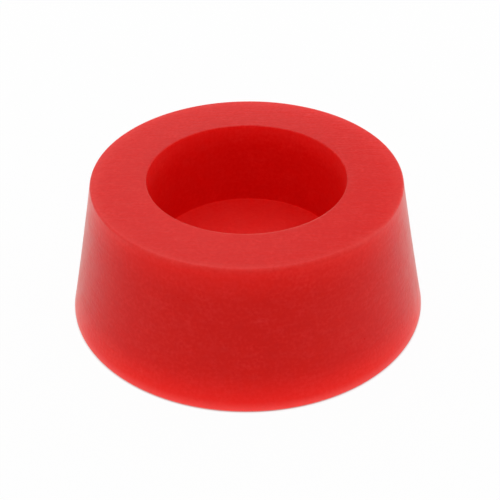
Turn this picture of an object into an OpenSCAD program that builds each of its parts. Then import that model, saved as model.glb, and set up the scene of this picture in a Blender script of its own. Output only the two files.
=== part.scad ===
// Laboratory stopper moulded in one piece from silicone rubber: a shallow cone that stands on its
// wide end, with a round blind recess in its narrow end. Millimetres, +Z up, and the origin is the
// centre of the wide end.

/* [Body] */
// Diameter of the wide end, which the stopper stands on, where its face meets the taper
wide_d = 64; // [55:0.5:90]
// Diameter of the narrow end, which goes into the vessel first, where its face meets the taper
narrow_d = 54; // [40:0.5:63]
// Height from the wide end to the narrow end
height = 25.4; // [18:0.2:60]

/* [Recess] */
// Diameter of the recess at its mouth, where its wall meets the narrow end
mouth_d = 34.7; // [12:0.1:48]
// Depth of the recess below the narrow end
recess_depth = 16; // [3:0.5:22]
// Draft of the recess wall, in degrees, which lets the moulding core pull out
recess_draft = 0.9; // [0:0.1:8]

/* [Edges] */
// Radius of the edge round the wide end
wide_edge_r = 0.3; // [0.1:0.05:3]
// Radius of the edge round the narrow end
narrow_edge_r = 0.4; // [0.1:0.05:3]
// Radius of the edge round the mouth of the recess
mouth_edge_r = 0.25; // [0.1:0.05:3]
// Radius of the fillet round the floor of the recess
floor_fillet_r = 0.15; // [0.1:0.05:2.5]

/* [Hidden] */

// Steps in a full turn of the revolved form, and in each rounded corner of its section
$fn = 240;
corner_steps = 8;

floor_z = height - recess_depth;
floor_d = mouth_d - 2 * recess_depth * tan(recess_draft);

// Half-section, counter-clockwise from the axis: each corner is [radius from the axis, height,
// rounding radius], and 0 leaves it sharp
section_corners = [
    [0, 0, 0],
    [wide_d / 2, 0, wide_edge_r],
    [narrow_d / 2, height, narrow_edge_r],
    [mouth_d / 2, height, mouth_edge_r],
    [floor_d / 2, floor_z, floor_fillet_r],
    [0, floor_z, 0]
];

function flat(p) = [p[0], p[1]];
function unit(v) = v / norm(v);

// Points of the arc of radius r that touches both lines through the corner p, one towards the
// point before it and one towards the point after it
function corner_arc(before, p, after, r) =
    let (
        u = unit(before - p),
        v = unit(after - p),
        half_angle = acos(u * v) / 2,
        centre = p + unit(u + v) * r / sin(half_angle),
        from = p + u * r / tan(half_angle) - centre,
        to = p + v * r / tan(half_angle) - centre,
        start = atan2(from[1], from[0]),
        turn = atan2(from[0] * to[1] - from[1] * to[0], from * to)
    )
    [for (i = [0:corner_steps])
        centre + r * [cos(start + turn * i / corner_steps), sin(start + turn * i / corner_steps)]];

// The outline through the corners, with each one rounded by its own radius
function rounded(corners) =
    let (n = len(corners))
    [for (i = [0:n - 1])
        each corners[i][2] == 0
            ? [flat(corners[i])]
            : corner_arc(flat(corners[(i + n - 1) % n]), flat(corners[i]),
                flat(corners[(i + 1) % n]), corners[i][2])];

// The whole stopper: solid base, tapered wall and recess are one revolved section
module stopper() {
    color([0.80, 0.07, 0.06])
        rotate_extrude()
            polygon(rounded(section_corners));
}

stopper();
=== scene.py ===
"""Looks of the moulded silicone stopper: its surface as a fine revolved mesh, its red rubber, a pale
floor, soft studio light and the camera. Everything is in metres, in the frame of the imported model."""

import math

import bpy
from mathutils import Matrix, Vector, noise


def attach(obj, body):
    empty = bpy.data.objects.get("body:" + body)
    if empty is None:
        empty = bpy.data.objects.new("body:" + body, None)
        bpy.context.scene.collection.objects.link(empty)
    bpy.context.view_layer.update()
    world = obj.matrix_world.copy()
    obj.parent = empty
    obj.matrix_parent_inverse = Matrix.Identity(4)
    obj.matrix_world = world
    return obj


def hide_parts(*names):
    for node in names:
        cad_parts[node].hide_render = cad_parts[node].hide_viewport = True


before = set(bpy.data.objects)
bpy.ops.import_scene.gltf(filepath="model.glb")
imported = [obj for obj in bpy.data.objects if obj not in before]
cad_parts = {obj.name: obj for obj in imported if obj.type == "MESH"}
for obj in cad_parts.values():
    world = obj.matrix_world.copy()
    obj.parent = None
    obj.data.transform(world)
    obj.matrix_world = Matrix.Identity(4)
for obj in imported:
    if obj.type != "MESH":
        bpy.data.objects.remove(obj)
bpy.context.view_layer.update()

MM = 0.001

# The stopper's section, as the solid has it: sizes where its faces would meet, then the radii
# that round its corners.
WIDE_D = 64 * MM
NARROW_D = 54 * MM
HEIGHT = 25.4 * MM
MOUTH_D = 34.7 * MM
RECESS_DEPTH = 16 * MM
RECESS_DRAFT = math.radians(0.9)
WIDE_EDGE_R = 0.3 * MM
NARROW_EDGE_R = 0.4 * MM
MOUTH_EDGE_R = 0.25 * MM
FLOOR_FILLET_R = 0.15 * MM
FLOOR_Z = HEIGHT - RECESS_DEPTH

# How finely the surface is divided: round the axis, in each rounded corner, along a straight run,
# and how far from a corner the run's first ring lies.
SEGMENTS_AROUND = 320
CORNER_STEPS = 7
RING_STEP = 0.6 * MM
EDGE_RING = 0.06 * MM

# The faint unevenness of moulded rubber: how deep its swells go, how far apart they lie and the
# noise that they follow, and how far the taper has shrunk in between its two ends.
SWELL_DEPTH = 0.02 * MM
SWELL_SPACING = 9 * MM
SWELL_SOFTNESS = 0.9
SWELL_SCALE_STEP = 2.1
SWELL_LAYERS = 3
TAPER_SINK = 0.09 * MM

# The rubber: its deepest red, and its lightest red, which its painted glow and its grain go towards,
# the pale red of its painted highlights, its painted sheen and its grain, how light and how pale it
# is everywhere, how far red, green and blue light travel in it, its skin outside and in the recess,
# and the tint of its gloss and sheen.
DEEP_RED = (0.776, 0.0005, 0.0002)
LIGHT_RED = (1.0, 0.018, 0.012)
PALE_RED = (1.0, 0.15, 0.14)
USUAL_LIGHTNESS = 0.1
USUAL_PALENESS = 0.015
LIGHT_TRAVEL = (1.0, 0.1, 0.08)
LIGHT_DEPTH = 12.0 * MM
RUBBER_IOR = 1.265
SKIN_ROUGHNESS = 0.35
RECESS_ROUGHNESS = 0.55
SHEEN = 0.4
SHEEN_ROUGHNESS = 0.3
GLOSS_TINT = (1.0, 1.0, 0.9)

# Painted light on the edges. The first list is a painted glow, where light would come through thin
# rubber; the second is painted paleness: highlights where the edges catch the light, and a paler
# glow at the wide end. Each edge is given as radius, height, strength and reach, and fades over its
# reach by FADE_POWER.
PAINTED_GLOW_EDGES = (
    (WIDE_D / 2, 0, 1.0, 7 * MM),
    (NARROW_D / 2 + 1.5 * MM, HEIGHT - 1.5 * MM, 0.35, 4.5 * MM),
    (NARROW_D / 2 + 0.5 * MM, HEIGHT - 0.9 * MM, 0.25, 1.3 * MM),
)
PAINTED_PALE_EDGES = (
    (WIDE_D / 2, 0, 0.9, 1.9 * MM),
    (WIDE_D / 2, 0, 0.05, 4 * MM),
    (NARROW_D / 2, HEIGHT, 0.12, 1.8 * MM),
    (NARROW_D / 2, HEIGHT, 0.12, 0.6 * MM),
)
FADE_POWER = 1.3

# Edges whose painted light is strongest near one place: painted highlights on the front of the mouth
# and on the front right of the narrow end, and a painted glow round the back of the narrow end's
# rim. Each is the edge, the X and Y of that place, and a stretch of distances from it, with the share
# of the painted light at each of its ends.
PAINTED_LIGHT_PLACES = (
    ((MOUTH_D / 2, HEIGHT, 0.55, 0.5 * MM), (6 * MM, -17 * MM), (6 * MM, 17 * MM), (1.0, 0.1)),
    ((NARROW_D / 2, HEIGHT, 0.1, 3.5 * MM), (0, NARROW_D / 2), (38 * MM, 47 * MM), (1.0, 0.0)),
    ((NARROW_D / 2, HEIGHT, 0.25, 0.5 * MM), (19.5 * MM, -18.5 * MM), (2 * MM, 7 * MM), (1.0, 0.0)),
)

# How much lighter and paler than the usual rubber the recess is painted: its floor, then its wall at
# the foot and at the mouth. This is painted light: the floor and the wall near the mouth are painted
# lighter, with a painted sheen, and the wall's foot stays darker as painted shade. The wall changes
# within this reach of the mouth, and by a share that grows with the distance from the plane Y = 0.
RECESS_LIGHTNESS = (0.28, 0.045, 0.2)
RECESS_PALENESS = (0.088, 0.006, 0.1)
MOUTH_REACH = 5.0 * MM
LIT_RANGE, LIT_SHARES = (0, MOUTH_D / 5), (0.2, 1.0)

# The skin's marks: a fine grain, soft mottling, and lines that run round the taper and straight
# across the narrow end. For each, its size and the layers of its noise.
GRAIN_SIZE = 0.6 * MM
GRAIN_DETAIL = 1
MOTTLE_SIZE = 2.5 * MM
MOTTLE_DETAIL = 3
LINE_LENGTH = 4.5 * MM
LINE_WIDTH = 0.8 * MM
LINE_DETAIL = 1
NOISE_ROUGHNESS = 0.6

# How much the marks change lightness, paleness, relief or roughness. Grain and lines are patchy:
# gone where the mottling is at -PATCH_EDGE and doubled where it is at PATCH_EDGE. The recess has
# only a share of them. With the bump's two values at 1, relief is in metres.
GRAIN_LIGHTNESS = 0.35
MOTTLE_LIGHTNESS = 0.15
GRAIN_PALENESS = 0.17
MOTTLE_PALENESS = 0.05
LINE_PALENESS = 0.1
GRAIN_RELIEF = 0.03 * MM
LINE_RELIEF = 0.03 * MM
BUMP_STRENGTH, BUMP_DISTANCE = 1.0, 1.0
MOTTLE_ROUGHNESS = 0.3
PATCH_EDGE = 0.4
RECESS_MARKS = 0.75

# The floor: its hole, whose edge the stopper stands on, its reach, its level and its grey.
FLOOR_HOLE_R = WIDE_D / 2 - 0.45 * MM
FLOOR_R = 3.0
FLOOR_LEVEL = -0.02 * MM
FLOOR_SEGMENTS = 96
FLOOR_PALE = 0.88

# How much plain white is mixed into the floor, over stretches of distance from its middle. Where
# it is seen directly, that is nearly all, so that only a soft shade is left near the stopper and
# a thin dark line at its foot. A gloss shows the floor darker near the stopper.
FLOOR_WHITENED = 0.97
SHADE_RANGE = (WIDE_D, 5 * WIDE_D)
CONTACT_WHITENED = 0.1
CONTACT_RANGE = (WIDE_D / 2 - 0.2 * MM, WIDE_D / 2 + 0.08 * MM)
GLOSS_NEAR, GLOSS_FAR = 0.3, 1.0
GLOSS_RANGE = (WIDE_D / 2, WIDE_D)

# The light that the floor throws on the stopper: the share of it that is an even glow, and that
# glow's strength.
FLOOR_GLOW = 0.5
FLOOR_GLOW_LIGHT = 0.9

# The room's light: from the camera's side, from behind the stopper and from below, and the stretch
# of the heading's height over which the light from below gives way to the others. A gloss shows
# the room white, but darkens over the second stretch to GLOSS_ABOVE.
ROOM_FRONT = 0.42
ROOM_BACK = 0.54
ROOM_BELOW = 1.05
BELOW_RANGE = (-0.05, 0)
GLOSS_ABOVE = 0.57
ABOVE_RANGE = (0.25, 0.45)

# The lamps, as name, place, width and radiance. Each faces the stopper.
SOFTBOXES = (
    ("overhead_softbox", (0, 0.05, 0.45), 0.5, 0.6),
    ("left_softbox", (-0.44, 0.03, 0.13), 0.3, 0.45),
    ("right_softbox", (0.42, 0.15, 0.13), 0.3, 1.1),
    ("back_softbox", (-0.075, 0.28, 0.365), 0.27, 1.1),
)

# The camera: its lens and sensor in millimetres, what it looks at, how far away and how high up
# it is, how far it is turned about its line of sight, and the distances that it sees.
LENS, SENSOR = 80.51, 36.0
CAMERA_TARGET = (0.46 * MM, 0, 9.51 * MM)
CAMERA_DISTANCE = 202.57 * MM
CAMERA_ELEVATION = math.radians(36.0)
CAMERA_ROLL = math.radians(-0.54)
CLIP_START, CLIP_END = 0.01, 20

# A colour mix has several sockets of one name, so its two colours and its result go by number.
MIX_FIRST, MIX_SECOND, MIX_RESULT = 6, 7, 2


def corner_arc(before, corner, after, radius):
    """Points of the arc of this radius that touches both lines through the corner."""
    to_before = (before - corner).normalized()
    to_after = (after - corner).normalized()
    half_angle = to_before.angle(to_after) / 2
    centre = corner + (to_before + to_after).normalized() * radius / math.sin(half_angle)
    start = corner + to_before * radius / math.tan(half_angle) - centre
    end = corner + to_after * radius / math.tan(half_angle) - centre
    start_angle = math.atan2(start.y, start.x)
    turn = math.atan2(start.x * end.y - start.y * end.x, start.dot(end))
    angles = [start_angle + turn * i / CORNER_STEPS for i in range(CORNER_STEPS + 1)]
    return [centre + radius * Vector((math.cos(a), math.sin(a))) for a in angles]


def straight_run(start, end):
    """Points between two ends, one close to each end so that the shading of its corner stays
    there, and the rest about a ring's step apart."""
    run = end - start
    inner = run.length - 2 * EDGE_RING
    count = max(1, round(inner / RING_STEP))
    places = [EDGE_RING + inner * i / count for i in range(count + 1)]
    return [start + run * (place / run.length) for place in places]


def sunk(ring):
    """The ring, drawn in if it is on the taper, and most of all halfway up."""
    if ring.x < NARROW_D / 2:
        return ring
    share = ring.y / HEIGHT
    return Vector((ring.x - TAPER_SINK * 4 * share * (1 - share), ring.y))


def section():
    """The half-section as rings of (radius, height), from the middle of the wide end round to
    the middle of the recess floor."""
    floor_r = MOUTH_D / 2 - RECESS_DEPTH * math.tan(RECESS_DRAFT)
    corners = [
        (Vector((0, 0)), 0),
        (Vector((WIDE_D / 2, 0)), WIDE_EDGE_R),
        (Vector((NARROW_D / 2, HEIGHT)), NARROW_EDGE_R),
        (Vector((MOUTH_D / 2, HEIGHT)), MOUTH_EDGE_R),
        (Vector((floor_r, FLOOR_Z)), FLOOR_FILLET_R),
        (Vector((0, FLOOR_Z)), 0),
    ]
    rings = []
    last = corners[0][0]
    for i in range(1, len(corners) - 1):
        arc = corner_arc(corners[i - 1][0], corners[i][0], corners[i + 1][0], corners[i][1])
        rings += straight_run(last, arc[0]) + arc
        last = arc[-1]
    rings += straight_run(last, corners[-1][0])
    return [sunk(ring) for ring in rings]


def swell(point):
    """How far the rubber lies under its nominal surface at this point."""
    value = noise.fractal(point / SWELL_SPACING, SWELL_SOFTNESS, SWELL_SCALE_STEP, SWELL_LAYERS)
    return SWELL_DEPTH * min(1, max(0, 0.5 + 0.5 * value))


def placed(name, data):
    """A new object in the scene, made of this data."""
    made = bpy.data.objects.new(name, data)
    bpy.context.scene.collection.objects.link(made)
    return made


def meshed(name, verts, faces):
    """A new object in the scene, with these points and faces."""
    mesh = bpy.data.meshes.new(name)
    mesh.from_pydata(verts, [], faces)
    return placed(name, mesh)


def revolved(name, rings):
    """A closed surface of revolution through these rings, whose ends are on the axis."""
    first, last = Vector((0, 0, rings[0].y)), Vector((0, 0, rings[-1].y))
    rings = [ring for ring in rings if ring.x > EDGE_RING / 2]
    verts = [first]
    for ring in rings:
        for i in range(SEGMENTS_AROUND):
            angle = 2 * math.pi * i / SEGMENTS_AROUND
            verts.append(Vector((ring.x * math.cos(angle), ring.x * math.sin(angle), ring.y)))
    verts.append(last)
    top = 1 + (len(rings) - 1) * SEGMENTS_AROUND
    faces = []
    for k in range(SEGMENTS_AROUND):
        after = (k + 1) % SEGMENTS_AROUND
        faces.append((0, 1 + after, 1 + k))
        for low in range(1, top, SEGMENTS_AROUND):
            high = low + SEGMENTS_AROUND
            faces.append((low + k, low + after, high + after, high + k))
        faces.append((top + k, top + after, len(verts) - 1))
    made = meshed(name, verts, faces)
    made.data.shade_smooth()
    return made


def uneven(piece):
    """Sinks each point of the surface a little along its normal, by the swells of the rubber."""
    normals = [vertex.normal.copy() for vertex in piece.data.vertices]
    for vertex, normal in zip(piece.data.vertices, normals):
        vertex.co -= normal * swell(vertex.co)


def finish_recess(piece):
    """Gives the recess, below the rounded edge of its mouth, the second material."""
    for face in piece.data.polygons:
        middle = face.center
        if FLOOR_Z / 2 < middle.z < HEIGHT - MOUTH_EDGE_R:
            if math.hypot(middle.x, middle.y) < (MOUTH_D + NARROW_D) / 4:
                face.material_index = 1


class Nodes:
    """Adds nodes to a material's or world's tree and links them."""

    def __init__(self, owner):
        owner.use_nodes = True
        self.tree = owner.node_tree
        self.tree.nodes.clear()

    def feed(self, socket, value):
        """Links the input to another node's output, or sets it to a plain value."""
        if isinstance(value, bpy.types.NodeSocket):
            self.tree.links.new(value, socket)
        else:
            socket.default_value = value

    def add(self, kind, settings=None, **inputs):
        """A node with these settings, and with its inputs fed by name."""
        node = self.tree.nodes.new(kind)
        for key, value in (settings or {}).items():
            setattr(node, key, value)
        for key, value in inputs.items():
            self.feed(node.inputs[key.replace("_", " ")], value)
        return node

    def math(self, operation, *values):
        """The result of one step of arithmetic."""
        node = self.add("ShaderNodeMath", {"operation": operation})
        for socket, value in zip(node.inputs, values):
            self.feed(socket, value)
        return node.outputs[0]

    def plus(self, start, *terms):
        """The start and each of these values times its weight, all added up."""
        total = start
        for value, weight in terms:
            total = self.math("MULTIPLY_ADD", value, weight, total)
        return total

    def distance(self, first, second):
        """How far apart two points are."""
        node = self.add("ShaderNodeVectorMath", {"operation": "DISTANCE"})
        self.feed(node.inputs[0], first)
        self.feed(node.inputs[1], second)
        return node.outputs["Value"]

    def ramp(self, value, at, out):
        """The value carried from one range to another, and held at its ends."""
        node = self.add("ShaderNodeMapRange", Value=value)
        for name, end in zip(("From Min", "From Max", "To Min", "To Max"), (*at, *out)):
            self.feed(node.inputs[name], end)
        return node.outputs["Result"]

    def blend(self, share, first, second):
        """A colour that goes from the first to the second as the share goes from 0 to 1."""
        mix = self.add("ShaderNodeMix", {"data_type": "RGBA", "clamp_factor": True}, Factor=share)
        self.feed(mix.inputs[MIX_FIRST], first)
        self.feed(mix.inputs[MIX_SECOND], second)
        return mix.outputs[MIX_RESULT]

    def mixed(self, share, first, second):
        """A shader that goes from the first to the second as the share goes from 0 to 1."""
        mix = self.add("ShaderNodeMixShader", Fac=share)
        self.feed(mix.inputs[1], first.outputs[0])
        self.feed(mix.inputs[2], second.outputs[0])
        return mix.outputs[0]

    def speckle(self, place, size, detail):
        """Soft noise of this size, spread evenly round 0."""
        value = self.add(
            "ShaderNodeTexNoise",
            Vector=place,
            Scale=1 / size,
            Detail=detail,
            Roughness=NOISE_ROUGHNESS,
        )
        return self.math("SUBTRACT", value.outputs[0], 0.5)

    def seen_directly(self):
        """1 for the rays that show a surface as it is: to the eye, in a gloss or through glass."""
        path = self.add("ShaderNodeLightPath").outputs
        either = self.math("MAXIMUM", path["Is Camera Ray"], path["Is Glossy Ray"])
        return self.math("MAXIMUM", either, path["Is Transmission Ray"])


def faded(nodes, distance, reach):
    """1 at no distance, falling to 0 at the reach, steeply at first."""
    return nodes.math("POWER", nodes.ramp(distance, (0, reach), (1, 0)), FADE_POWER)


def near_edges(nodes, place, edges):
    """A value that is raised near these edges."""
    split = nodes.add("ShaderNodeSeparateXYZ", Vector=place).outputs
    squares = nodes.math("MULTIPLY", split["X"], split["X"])
    radius = nodes.math("SQRT", nodes.math("MULTIPLY_ADD", split["Y"], split["Y"], squares))
    at = nodes.add("ShaderNodeCombineXYZ", X=radius, Y=split["Z"]).outputs[0]
    terms = []
    for edge_r, edge_z, strength, reach in edges:
        away = nodes.distance(at, (edge_r, edge_z, 0))
        terms.append((faded(nodes, away, reach), strength))
    return nodes.plus(0.0, *terms)


def painted_pale_light(nodes, place):
    """Paleness near the edges: painted highlights, and a painted glow round the back of the narrow end,
    some of them strongest near one place.
    """
    terms = []
    for edge, (x, y), stretch, shares in PAINTED_LIGHT_PLACES:
        light_share = nodes.ramp(nodes.distance(place, (x, y, HEIGHT)), stretch, shares)
        terms.append((near_edges(nodes, place, (edge,)), light_share))
    return nodes.plus(near_edges(nodes, place, PAINTED_PALE_EDGES), *terms)


def in_recess(nodes, place, values):
    """The first value on the floor of the recess. On its wall, one that goes from the second to
    the third close to the mouth, most of all towards -Y and +Y."""
    floor, foot, mouth = values
    split = nodes.add("ShaderNodeSeparateXYZ", Vector=place).outputs
    depth = nodes.math("SUBTRACT", HEIGHT, split["Z"])
    lit = nodes.ramp(nodes.math("ABSOLUTE", split["Y"]), LIT_RANGE, LIT_SHARES)
    near_mouth = nodes.math("MULTIPLY", faded(nodes, depth, MOUTH_REACH), lit)
    wall = nodes.ramp(near_mouth, (0, 1), (foot, mouth))
    on_floor = nodes.math("LESS_THAN", split["Z"], FLOOR_Z + FLOOR_FILLET_R / 2)
    return nodes.ramp(on_floor, (0, 1), (wall, floor))


def lines(nodes, place):
    """Noise drawn out into lines, round the taper and along X on the narrow end."""
    split = nodes.add("ShaderNodeSeparateXYZ", Vector=place).outputs
    on_end = nodes.math("GREATER_THAN", split["Z"], HEIGHT - NARROW_EDGE_R / 2)
    across = nodes.ramp(on_end, (0, 1), (1 / LINE_LENGTH, 1 / LINE_WIDTH))
    drawn = nodes.add(
        "ShaderNodeCombineXYZ",
        X=nodes.math("MULTIPLY", split["X"], 1 / LINE_LENGTH),
        Y=nodes.math("MULTIPLY", split["Y"], across),
        Z=nodes.math("MULTIPLY", split["Z"], 1 / LINE_WIDTH),
    )
    return nodes.speckle(drawn.outputs[0], 1, LINE_DETAIL)


def rubber(name, roughness, sheen, marks, lightness, paleness):
    """Red translucent silicone rubber with a marked skin, where marks is the strength of its grain
    and lines. Two functions of the nodes and the place give its lightness and its paleness, which carry
    its painted glow, painted shade, painted highlights and painted sheen."""
    material = bpy.data.materials.new(name)
    nodes = Nodes(material)
    place = nodes.add("ShaderNodeTexCoord").outputs["Object"]
    mottle = nodes.speckle(place, MOTTLE_SIZE, MOTTLE_DETAIL)
    patches = nodes.ramp(mottle, (-PATCH_EDGE, PATCH_EDGE), (0, 2 * marks))
    grain = nodes.math("MULTIPLY", nodes.speckle(place, GRAIN_SIZE, GRAIN_DETAIL), patches)
    line = nodes.math("MULTIPLY", lines(nodes, place), patches)
    # Painted glow and painted shade go into the lightness, with the grain and the mottling.
    light = nodes.math("ADD", lightness(nodes, place), USUAL_LIGHTNESS)
    light = nodes.plus(light, (grain, GRAIN_LIGHTNESS), (mottle, MOTTLE_LIGHTNESS))
    red = nodes.blend(light, (*DEEP_RED, 1), (*LIGHT_RED, 1))
    # Painted highlights and painted sheen go into the paleness, with the grain, the mottling and the
    # lines.
    pale = nodes.math("ADD", paleness(nodes, place), USUAL_PALENESS)
    pale = nodes.plus(pale, (grain, GRAIN_PALENESS), (mottle, MOTTLE_PALENESS), (line, LINE_PALENESS))
    height = nodes.plus(0.0, (grain, GRAIN_RELIEF), (line, LINE_RELIEF))
    relief = nodes.add("ShaderNodeBump", Height=height, Strength=BUMP_STRENGTH, Distance=BUMP_DISTANCE)
    shader = nodes.add(
        "ShaderNodeBsdfPrincipled",
        Base_Color=nodes.blend(pale, red, (*PALE_RED, 1)),
        Roughness=nodes.math("MULTIPLY_ADD", mottle, MOTTLE_ROUGHNESS, roughness),
        Normal=relief.outputs[0],
        IOR=RUBBER_IOR,
        Subsurface_Weight=1.0,
        Subsurface_Radius=LIGHT_TRAVEL,
        Subsurface_Scale=LIGHT_DEPTH,
        Sheen_Weight=sheen,
        Sheen_Roughness=SHEEN_ROUGHNESS,
        Specular_Tint=(*GLOSS_TINT, 1),
        Sheen_Tint=(*GLOSS_TINT, 1),
    )
    nodes.add("ShaderNodeOutputMaterial", Surface=shader.outputs[0])
    return material


def outer_skin():
    """The rubber outside, as far as the mouth of the recess, with a painted glow and painted highlights
    near its edges.
    """
    return rubber(
        "silicone", SKIN_ROUGHNESS, SHEEN, 1.0,
        lambda nodes, place: near_edges(nodes, place, PAINTED_GLOW_EDGES),
        painted_pale_light,
    )


def recess_skin():
    """The duller rubber of the recess, which has no sheen. Its lightness and paleness are painted
    light: a painted glow and painted sheen on its floor and near its mouth, and painted shade at the
    wall's foot.
    """
    return rubber(
        "silicone_recess", RECESS_ROUGHNESS, 0.0, RECESS_MARKS,
        lambda nodes, place: in_recess(nodes, place, RECESS_LIGHTNESS),
        lambda nodes, place: in_recess(nodes, place, RECESS_PALENESS),
    )


def floor_look():
    """A matt pale floor with plain white mixed in, by how far from the stopper it is and by the
    rays that it is seen with."""
    material = bpy.data.materials.new("floor")
    nodes = Nodes(material)
    place = nodes.add("ShaderNodeTexCoord").outputs["Object"]
    away = nodes.distance(place, (0, 0, 0))
    shade = nodes.ramp(away, SHADE_RANGE, (FLOOR_WHITENED, 1.0))
    contact = nodes.ramp(away, CONTACT_RANGE, (CONTACT_WHITENED, 1.0))
    plain = nodes.math("MULTIPLY", shade, contact)
    gloss = nodes.ramp(away, GLOSS_RANGE, (GLOSS_NEAR, GLOSS_FAR))
    in_gloss = nodes.add("ShaderNodeLightPath").outputs["Is Glossy Ray"]
    whitened = nodes.ramp(in_gloss, (0, 1), (plain, gloss))
    seen = nodes.seen_directly()
    share = nodes.ramp(seen, (0, 1), (FLOOR_GLOW, whitened))
    strength = nodes.ramp(seen, (0, 1), (FLOOR_GLOW_LIGHT, 1.0))
    pale = nodes.add("ShaderNodeBsdfDiffuse", Color=(FLOOR_PALE, FLOOR_PALE, FLOOR_PALE, 1))
    white = nodes.add("ShaderNodeEmission", Color=(1, 1, 1, 1), Strength=strength)
    nodes.add("ShaderNodeOutputMaterial", Surface=nodes.mixed(share, pale, white))
    return material


def add_stage():
    """A pale floor with a hole that the stopper covers, so that its underside is lit too."""
    turns = [2 * math.pi * i / FLOOR_SEGMENTS for i in range(FLOOR_SEGMENTS)]
    verts = []
    for radius in (FLOOR_HOLE_R, FLOOR_R):
        verts += [(radius * math.cos(a), radius * math.sin(a), FLOOR_LEVEL) for a in turns]
    faces = []
    for i in range(FLOOR_SEGMENTS):
        after = (i + 1) % FLOOR_SEGMENTS
        faces.append((i, i + FLOOR_SEGMENTS, after + FLOOR_SEGMENTS, after))
    floor = meshed("floor", verts, faces)
    floor.data.materials.append(floor_look())


def add_room():
    """A pale room, lighter behind the stopper than towards the camera, which looks white where it
    is seen directly and a little darker overhead where a gloss shows it."""
    world = bpy.data.worlds.new("studio")
    bpy.context.scene.world = world
    nodes = Nodes(world)
    heading = nodes.add("ShaderNodeTexCoord").outputs["Generated"]
    split = nodes.add("ShaderNodeSeparateXYZ", Vector=heading).outputs
    walls = nodes.ramp(split["Y"], (-1, 1), (ROOM_FRONT, ROOM_BACK))
    strength = nodes.ramp(split["Z"], BELOW_RANGE, (ROOM_BELOW, walls))
    room = nodes.add("ShaderNodeBackground", Color=(1, 1, 1, 1), Strength=strength)
    above = nodes.ramp(split["Z"], ABOVE_RANGE, (1.0, GLOSS_ABOVE))
    in_gloss = nodes.add("ShaderNodeLightPath").outputs["Is Glossy Ray"]
    whiteness = nodes.ramp(in_gloss, (0, 1), (1.0, above))
    white = nodes.add("ShaderNodeBackground", Color=(1, 1, 1, 1), Strength=whiteness)
    surface = nodes.mixed(nodes.seen_directly(), room, white)
    nodes.add("ShaderNodeOutputWorld", Surface=surface)


def add_softbox(name, place, width, radiance):
    """A square soft lamp of this radiance, which faces the stopper."""
    lamp = bpy.data.lights.new(name, "AREA")
    lamp.shape = "SQUARE"
    lamp.size = width
    lamp.energy = radiance * math.pi * width ** 2
    box = placed(name, lamp)
    box.location = place
    box.rotation_euler = Vector(place).to_track_quat("Z", "Y").to_euler()


def add_camera():
    """Looks along +Y and down at the stopper, through a long lens."""
    camera = bpy.data.cameras.new("camera")
    camera.lens = LENS
    camera.sensor_width = SENSOR
    camera.clip_start = CLIP_START
    camera.clip_end = CLIP_END
    holder = placed("camera", camera)
    back = Vector((0, -math.cos(CAMERA_ELEVATION), math.sin(CAMERA_ELEVATION)))
    holder.location = Vector(CAMERA_TARGET) + back * CAMERA_DISTANCE
    tilt = Matrix.Rotation(math.pi / 2 - CAMERA_ELEVATION, 4, "X")
    holder.rotation_euler = (tilt @ Matrix.Rotation(CAMERA_ROLL, 4, "Z")).to_euler()
    bpy.context.scene.camera = holder


stopper = revolved("silicone_stopper", section())
uneven(stopper)
stopper.data.materials.append(outer_skin())
stopper.data.materials.append(recess_skin())
finish_recess(stopper)
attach(stopper, "root")
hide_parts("stopper")
add_stage()
add_room()
for softbox in SOFTBOXES:
    add_softbox(*softbox)
add_camera()
bpy.context.scene.view_settings.view_transform = "Standard"
